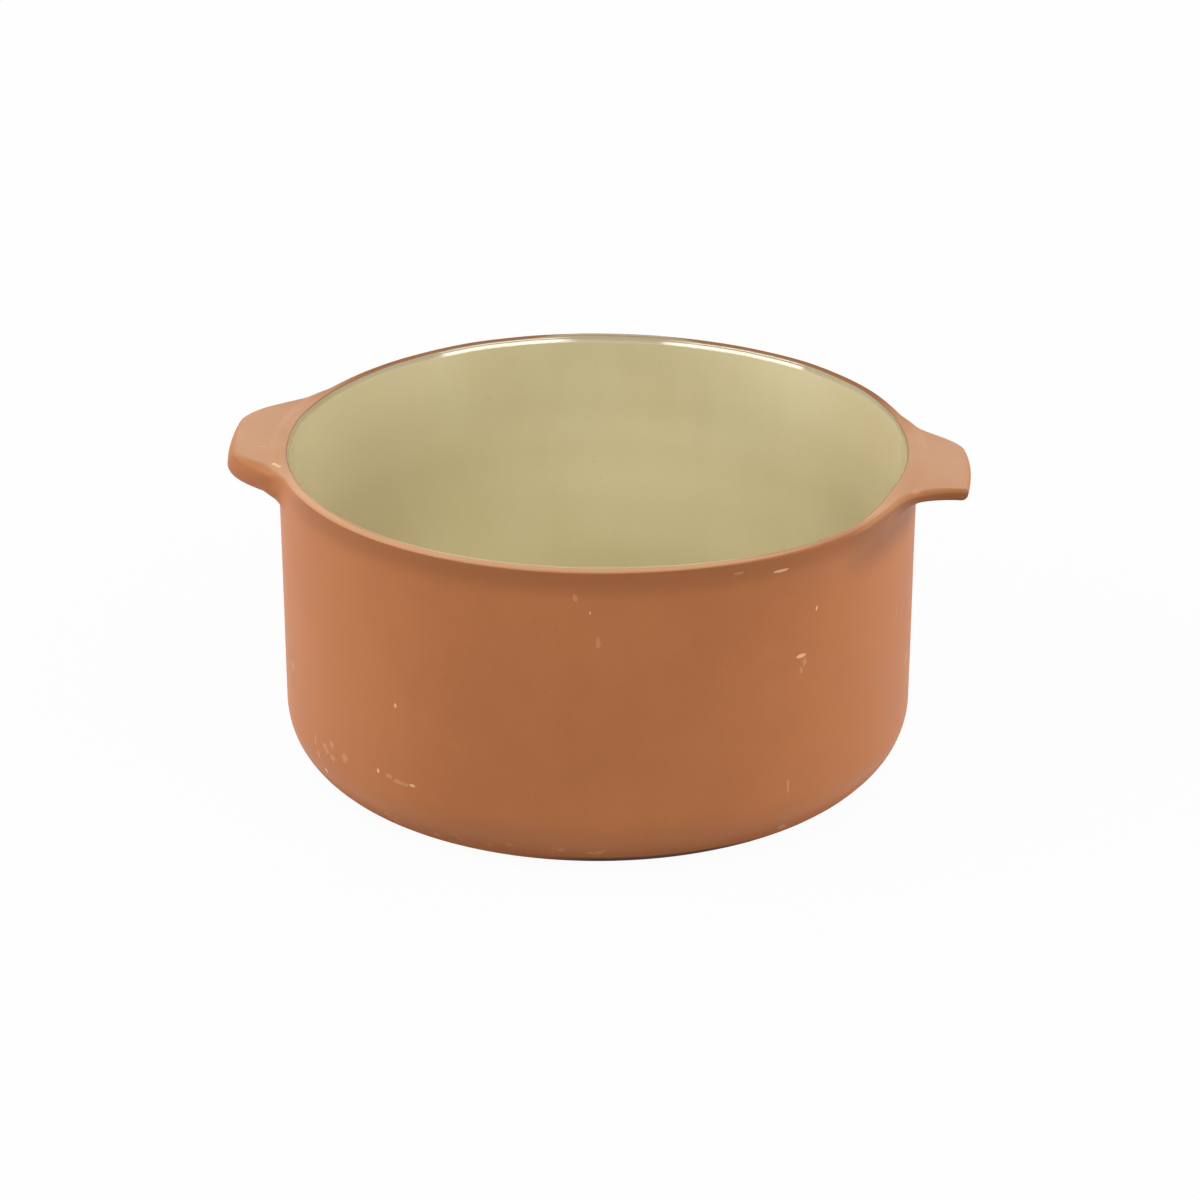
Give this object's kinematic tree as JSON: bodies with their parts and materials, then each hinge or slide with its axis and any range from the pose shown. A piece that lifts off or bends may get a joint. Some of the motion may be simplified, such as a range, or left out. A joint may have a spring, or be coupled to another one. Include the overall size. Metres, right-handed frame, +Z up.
{
  "type": "casserole pot",
  "caption": "Round open casserole pot of fired clay with a straight wall, rounded base corner, glazed inside, bare rolled lip and flat lug handles at the rim, for slow cooking and serving.",
  "frame": {"origin": "on the table under the middle of the pot, on the axis of the thrown body", "axes": "+X along the handles towards the right one, +Y towards the back, +Z up"},
  "size_m": [0.2672, 0.23, 0.12],
  "materials": {
    "clay": "satin",
    "glaze": "gloss",
    "slip": "matte"
  },
  "bodies": {
    "root": {"pot_body": "clay", "glaze_lining": "glaze", "right_lug_handle": "clay", "left_lug_handle": "clay", "right_luting_slip": "slip", "left_luting_slip": "slip"}
  },
  "joints": []
}
